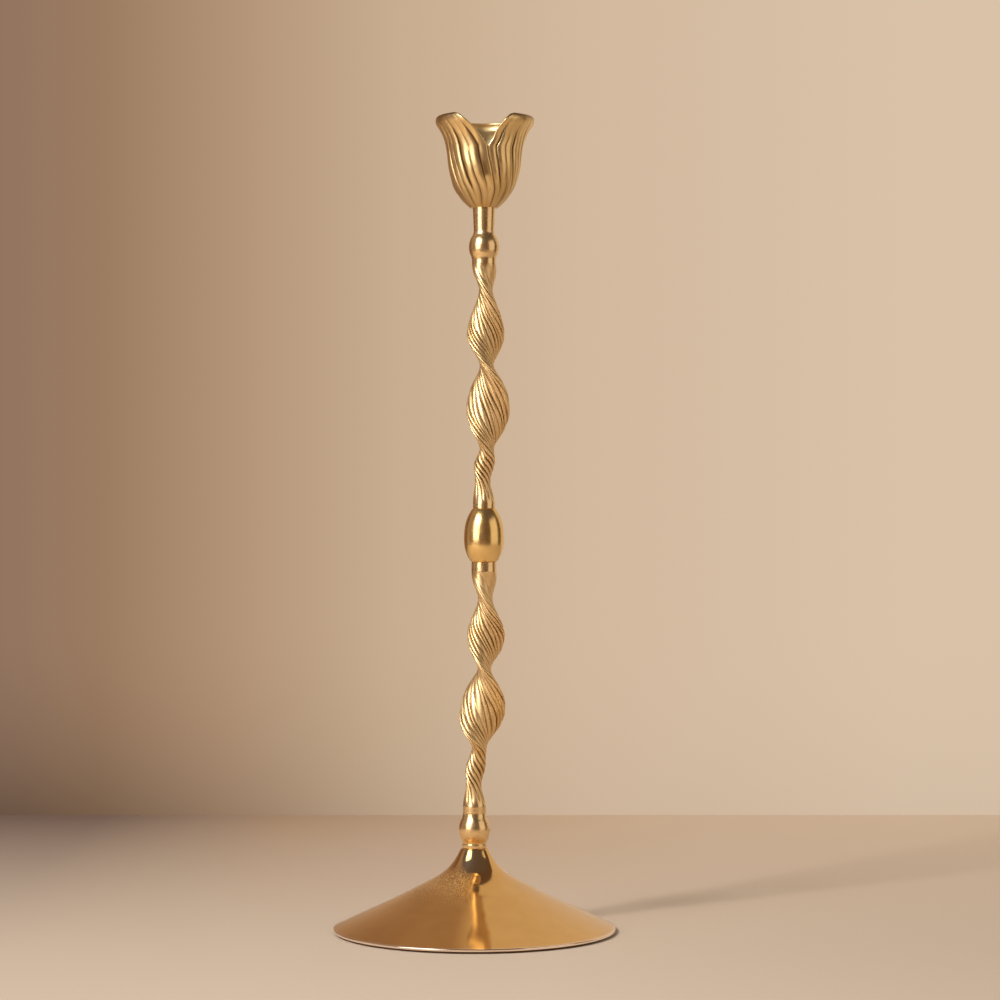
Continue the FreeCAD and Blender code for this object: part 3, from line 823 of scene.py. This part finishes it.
def polished_brass(name, colours, grain_mm, grain_depth, ripple_depth, roughness, painted_shade_strength=0.0,
                   reed_roughness_added=0.0):
    """Cast brass, polished and lacquered: a bright warm mirror that hand polishing left slightly
    rippled, with the fine pits of the casting where the wheel doesn't reach. Hollows and creases
    are darkened towards dark brown as painted shade. The pits are drawn coarser than real ones, so
    that they show."""
    material, tree, shader, place = new_material(name)
    cloud = add(tree, NOISE, {"Vector": place, "Scale": 1 / (tint_cloud_mm * MM)})
    colour = add(tree, RAMP, (cloud,), stops=list(zip(noise_span, colours)))
    # Painted shade: hollows and creases darkened towards dark brown
    if painted_shade_strength:
        painted_shade_amount = add(tree, "ShaderNodeAttribute", out="Fac", attribute_name=PAINTED_SHADE)
        share = add(tree, RANGE, (painted_shade_amount, *painted_shade_span, 0.0, painted_shade_strength))
        colour = add(tree, MIX, {0: share, 6: colour, 7: "#684626"}, 2, data_type="RGBA")
    haze = add(tree, NOISE, {"Vector": place, "Scale": 1 / (haze_mm * MM), "Detail": 4.0})
    rough = add(tree, RANGE, (haze, *noise_span, *roughness))
    if reed_roughness_added:
        reeded = add(tree, "ShaderNodeAttribute", out="Fac", attribute_name=REEDED)
        rough = add(tree, MATH, (reeded, reed_roughness_added, rough), operation="MULTIPLY_ADD")
    waves = add(tree, NOISE, {"Vector": place, "Scale": 1 / (ripple_mm * MM), "Detail": 1.0})
    waves = add(tree, BUMP, {"Height": waves, "Distance": ripple_depth * MM})
    pits = add(tree, NOISE, {"Vector": place, "Scale": 1 / (grain_mm * MM), "Detail": 3.0})
    pits = add(tree, BUMP, {"Height": pits, "Distance": grain_depth * MM, "Normal": waves})
    feed(tree, shader, {"Base Color": colour, "Metallic": 1.0, "Roughness": rough,
                        "Normal": pits})
    return material


def add_foot_finish(material):
    """Hazy lacquer, with a painted whitish highlight along the rim, and orange peel where it ran
    together at the left of the flare. The peel is drawn coarser than it is, so that it shows."""
    tree = material.node_tree
    shader = tree.nodes["Principled BSDF"]
    colour, rough, under = (shader.inputs[name].links[0].from_socket
                            for name in ("Base Color", "Roughness", "Normal"))
    place = add(tree, "ShaderNodeTexCoord", out="Object")
    millimetres = add(tree, VECTOR_MATH, {0: place, "Scale": 1 / MM}, operation="SCALE")
    x, y, z = add(tree, SPLIT_XYZ, (millimetres,), None).outputs
    radius = add(tree, VECTOR_MATH, (add(tree, XYZ, (x, y)),), "Value", operation="LENGTH")

    # Painted whitish highlight along the rim's edge
    rim_highlight = add(tree, RANGE, (z, *rim_highlight_z, 0.9, 0.0))
    colour = add(tree, MIX, {0: rim_highlight, 6: colour, 7: "#FBEFE2"}, 2, data_type="RGBA")
    patch = 1.0
    for distance, fade, ends in ((radius, peel_inner_r, (0.0, 1.0)),
                                 (radius, peel_outer_r, (1.0, 0.0)),
                                 (x, peel_left_x, (1.0, 0.0)), (y, peel_front_y, (1.0, 0.0))):
        share = add(tree, RANGE, (distance, *fade, *ends))
        patch = add(tree, MATH, (share, patch), operation="MULTIPLY")
    peel = add(tree, NOISE, {"Vector": place, "Scale": 1 / (peel_mm * MM), "Detail": 3.0})
    peel = add(tree, BUMP, {"Height": peel, "Distance": peel_depth * MM, "Strength": patch,
                            "Normal": under})
    fleck = add(tree, NOISE, {"Vector": place, "Scale": 1 / (fleck_mm * MM), "Detail": 4.0})
    fleck = add(tree, RANGE, (fleck, *fleck_span, 0.0, 1.0))
    fleck = add(tree, MATH, (patch, fleck), operation="MULTIPLY")
    rough = add(tree, MIX, {0: fleck, 2: rough, 3: fleck_roughness}, data_type="FLOAT")
    feed(tree, shader, {"Base Color": colour, "Roughness": rough, "Normal": peel,
                        "Coat Weight": 0.5, "Coat Roughness": 0.5})


def zinc_plated_steel():
    """Bright zinc on turned steel: cool grey with faint rings left by the tool. The rings are
    drawn wider apart than real ones, so that they show."""
    material, tree, shader, place = new_material("zinc_plated_steel")
    cloud = add(tree, NOISE, {"Vector": place, "Scale": 1 / (2.0 * MM)})
    colour = add(tree, RAMP, (cloud,), stops=list(zip(noise_span, ("#A9AAA6", "#C3C3BD"))))
    flat = add(tree, "ShaderNodeMapping", {"Vector": place, "Scale": (0.1, 0.1, 1.0)})
    rings = add(tree, NOISE, {"Vector": flat, "Scale": 1 / (0.6 * MM)})
    rough = add(tree, RANGE, (rings, *noise_span, 0.25, 0.4))
    rings = add(tree, BUMP, {"Height": rings, "Distance": 0.01 * MM})
    feed(tree, shader, {"Base Color": colour, "Metallic": 1.0, "Roughness": rough,
                        "Normal": rings})
    return material


def pressed_wool_felt():
    """Pressed wool felt: dark, matt and slightly fuzzy, with matted fibres. They are drawn
    thicker than wool is, so that they show."""
    material, tree, shader, place = new_material("pressed_wool_felt")
    fibres = add(tree, NOISE, {"Vector": place, "Scale": 1 / (0.5 * MM), "Detail": 6.0})
    colour = add(tree, RAMP, (fibres,), stops=list(zip(noise_span, ("#4E3320", "#6E4C30"))))
    fuzz = add(tree, BUMP, {"Height": fibres, "Distance": 0.15 * MM})
    feed(tree, shader, {"Base Color": colour, "Roughness": 0.95, "Sheen Weight": 0.1,
                        "Sheen Roughness": 0.6, "Normal": fuzz})
    return material


# Studio, in metres
picture_px = 1000
sensor_mm = 36.0
camera_x, camera_distance, camera_height = 0.011, 1.202, 0.1859
lens_px = 2790.0
wall_y = 0.444
wall_half_width = 1.0
wall_height = 1.0
floor_half_width = 4.0
# Painted light and shade of the backdrop and table, darker at the left, from left to right: share
# of the way, colour
wall_light_stops = ((0.0, "#7A5B47"), (0.22, "#937560"), (0.275, "#9C7C61"), (0.35, "#B29276"),
              (0.45, "#C8AD90"), (0.56, "#D3B99E"), (0.75, "#D9C2A8"))
floor_back_light_stops = ((0.05, "#7B6C64"), (0.13, "#7D6E66"), (0.225, "#998879"), (0.323, "#AD9984"),
                    (0.42, "#B8A593"), (0.577, "#C6B49F"), (0.713, "#CCBDAC"), (0.917, "#D2C4B3"))
floor_front_light_stops = ((0.1, "#ADA397"), (0.35, "#B5AB9E"), (0.55, "#BAB0A3"))
lamp_aim = (0.0, 0.0, 0.18)
large_lamp_distance = 1.15
softbox_size, softbox_glow = (0.68, 1.1), 2.8
fill_size, fill_glow = (1.0, 1.0), 0.75
key_azimuth, key_elevation, key_distance = -45.0, 36.0, 1.3


def make_camera():
    data = bpy.data.cameras.new("camera")
    data.lens = lens_px / picture_px * sensor_mm
    data.sensor_width = sensor_mm
    data.clip_start, data.clip_end = 0.05, 50.0
    camera = bpy.data.objects.new("camera", data)
    camera.location = (camera_x, -camera_distance, camera_height)
    camera.rotation_euler = (math.pi / 2, 0.0, 0.0)
    bpy.context.scene.collection.objects.link(camera)
    bpy.context.scene.camera = camera


def stage_plane(name, corners, material):
    mesh = bpy.data.meshes.new(name)
    mesh.from_pydata(corners, [], [tuple(range(len(corners)))])
    plane = new_piece(name, mesh, material)
    return plane


def matt_paper(name):
    material, tree, shader, place = new_material(name)
    feed(tree, shader, {"Roughness": 0.9, "Specular IOR Level": 0.1})
    return material, tree, shader, place


def make_wall():
    """One-sided backdrop behind the object that glows with painted light: darker towards its left,
    with painted shade near the floor at the left and a painted edge of light higher up.
    """
    material, tree, shader, place = new_material("glowing_backdrop")
    x, _, z = add(tree, SPLIT_XYZ, (place,), None).outputs
    # The backdrop glows with painted light: darker towards the left, and higher up a sharper
    # painted edge between light and shade near the middle
    low_share = add(tree, RANGE, (x, -0.5, 0.5, 0.0, 1.0))
    high_share = add(tree, RANGE, (x, -0.09, 0.05, 0.3, 0.64))
    rise = add(tree, RANGE, (z, 0.5, 0.66, 0.0, 1.0))
    across = add(tree, MIX, {0: rise, 2: low_share, 3: high_share}, data_type="FLOAT")
    painted_wall_light = add(tree, RAMP, (across,), stops=wall_light_stops)
    # Painted shade near the floor, deepest at the left
    near_floor = add(tree, RANGE, (z, 0.0, 0.12, 1.0, 0.0))
    near_floor = add(tree, MATH, (near_floor, 2.0), operation="POWER")
    shade = add(tree, RANGE, (x, -0.27, 0.0, 0.5, 0.07))
    shade = add(tree, MATH, (near_floor, shade), operation="MULTIPLY")
    light = add(tree, MATH, (1.0, shade), operation="SUBTRACT")
    glow = add(tree, "ShaderNodeEmission", {"Color": painted_wall_light, "Strength": light})
    behind = add(tree, "ShaderNodeNewGeometry", out="Backfacing")
    clear = add(tree, "ShaderNodeBsdfTransparent")
    one_sided = add(tree, "ShaderNodeMixShader", (behind, glow, clear))
    tree.nodes.remove(shader)
    feed(tree, tree.nodes["Material Output"], {"Surface": one_sided})
    w, h = wall_half_width, wall_height
    stage_plane("backdrop", [(-w, wall_y, 0), (w, wall_y, 0), (w, wall_y, h), (-w, wall_y, h)],
                material)


def make_floor():
    """Table of paper, coloured with painted shade towards the back left and painted light towards
    the back right, with an evenly lit stand-in for it in the metal's reflections.
    """
    material, tree, shader, place = matt_paper("table_paper")
    x, y, _ = add(tree, SPLIT_XYZ, (place,), None).outputs
    # Painted shade towards the back left and painted light towards the back right of the table
    across = add(tree, RANGE, (x, -0.3, 0.3, 0.0, 1.0))
    back = add(tree, RAMP, (across,), stops=floor_back_light_stops)
    front = add(tree, RAMP, (across,), stops=floor_front_light_stops)
    depth = add(tree, RANGE, (y, -0.08, 0.43, 0.0, 1.0))
    depth = add(tree, MATH, (depth, 1.4), operation="POWER")
    colour = add(tree, MIX, {0: depth, 6: front, 7: back}, 2, data_type="RGBA")
    feed(tree, shader, {"Base Color": colour})
    w = floor_half_width
    wide = stage_plane("floor", [(-w, -w, 0), (w, -w, 0), (w, w, 0), (-w, w, 0)], material)
    wide.visible_glossy = False

    warm, tree, shader, _ = matt_paper("table_paper_in_metal")
    feed(tree, shader, {"Base Color": "#BEB0A0"})
    w, front_y, back_y, lift = 1.2, -0.62, 0.8, 0.0002
    near = stage_plane("floor_seen_in_metal", [(-w, front_y, lift), (w, front_y, lift),
                                               (w, back_y, lift), (-w, back_y, lift)], warm)
    near.visible_camera = False
    near.visible_diffuse = False
    near.visible_shadow = False


def area_light(name, azimuth, elevation, distance, size, power, in_metal=True, tint="#FFFFFF"):
    """Rectangular lamp seen from the object at an azimuth from the camera's side, facing it."""
    data = bpy.data.lights.new(name, "AREA")
    data.shape = "RECTANGLE"
    data.size, data.size_y = size
    data.energy = power
    data.color = hex_colour(tint)[:3]
    lamp = bpy.data.objects.new(name, data)
    a, e = math.radians(azimuth), math.radians(elevation)
    away = np.array((math.sin(a) * math.cos(e), -math.cos(a) * math.cos(e), math.sin(e)))
    lamp.location = tuple(np.array(lamp_aim) + away * distance)
    lamp.rotation_euler = Vector(tuple(away)).to_track_quat("Z", "Y").to_euler()
    lamp.visible_camera = False
    lamp.visible_glossy = in_metal
    bpy.context.scene.collection.objects.link(lamp)
    return lamp


def make_lights():
    """Softbox at the left, warm fill at the right, and a small key that is also the glints."""
    area_light("softbox", -46.0, 22.0, large_lamp_distance, softbox_size,
               softbox_glow * math.pi * math.prod(softbox_size))
    area_light("key", key_azimuth, key_elevation, key_distance, (0.24, 0.24), 17.0,
               in_metal=False, tint="#FFF1E8")
    glints = area_light("key_in_metal", key_azimuth, key_elevation, key_distance, (0.21, 0.21),
                        13.0)
    glints.visible_diffuse = False
    area_light("warm_fill", 64.0, 12.0, large_lamp_distance, fill_size,
               fill_glow * math.pi * math.prod(fill_size), tint="#FFEEDC")


def make_world():
    """Dim room in the metal's reflections, lit above the backdrop, and pale paper elsewhere."""
    world = bpy.data.worlds.new("studio")
    bpy.context.scene.world = world
    world.use_nodes = True
    tree = world.node_tree
    tree.nodes.clear()
    x, y, z = add(tree, SPLIT_XYZ, (add(tree, "ShaderNodeTexCoord", out="Generated"),),
                  None).outputs

    def faded(value, start, end, before, after):
        """Colour that softly gives way to another as the value goes from start to end."""
        share = add(tree, RANGE, (value, start, end), interpolation_type="SMOOTHSTEP")
        return add(tree, MIX, {0: share, 6: before, 7: after}, 2, data_type="RGBA")

    back = faded(x, -0.12, 0.10, "#96705A", "#CCB090")
    back = faded(z, 0.86, 0.93, back, "#5E5048")
    front = faded(x, -0.5, 0.4, "#8A7065", "#66503F")
    front = faded(z, 0.3, 0.6, front, "#5E5048")
    side = faded(x, -0.12, 0.10, "#A48A7A", "#5F4730")
    room = faded(y, -0.06, 0.16, front, side)
    room = faded(y, 0.36, 0.5, room, back)
    in_metal = add(tree, "ShaderNodeLightPath", out="Is Glossy Ray")
    shown = add(tree, MIX, {0: in_metal, 6: "#B09E8A", 7: room}, 2, data_type="RGBA")
    glow = add(tree, "ShaderNodeBackground", {"Color": shown, "Strength": 1.0})
    add(tree, "ShaderNodeOutputWorld", {"Surface": glow}, None)


make_camera()
make_floor()
make_wall()
make_lights()
make_world()

# The cast and petal brass carry painted shade in their hollows and creases
cast = polished_brass("polished_cast_brass", ("#EACB94", "#F1D39E"), grain_mm=0.9,
                      grain_depth=0.02, ripple_depth=0.05, roughness=(0.21, 0.3), painted_shade_strength=0.75,
                      reed_roughness_added=0.19)
petal = polished_brass("polished_petal_brass", ("#E8C98C", "#F0D39A"), grain_mm=0.8,
                       grain_depth=0.03, ripple_depth=0.05, roughness=(0.27, 0.38), painted_shade_strength=0.85)
turned = polished_brass("polished_turned_brass", ("#EFCA82", "#F5D594"), grain_mm=0.5,
                        grain_depth=0.006, ripple_depth=0.02, roughness=(0.19, 0.26))
spun = polished_brass("polished_foot_brass", ("#E5BB74", "#EAC27C"), grain_mm=0.8,
                      grain_depth=0.012, ripple_depth=0.03, roughness=(0.06, 0.11))
add_foot_finish(spun)
steel = zinc_plated_steel()
felt = pressed_wool_felt()

bar_tree = reeded_bar_tree()
made_pieces = (
    (upper_stem(bar_tree, cast), "upper_stem"),
    (lower_stem(bar_tree, cast), "lower_stem"),
    (middle_knop(turned), "middle_knop"),
    (foot(spun), "foot"),
    (tulip_petals(petal), "tulip_cup"),
    (cup_socket(petal), "tulip_cup"),
)
for piece, node in made_pieces:
    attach(piece, BODY)
    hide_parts(node)
for node, material in (("cup_stud", steel), ("middle_stud", steel), ("foot_screw", steel),
                       ("foot_washer", steel), ("foot_lock_washer", steel), ("foot_felt", felt)):
    cad_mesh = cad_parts[node].data
    cad_mesh.materials.clear()
    cad_mesh.materials.append(material)

bpy.context.scene.view_settings.view_transform = "Standard"
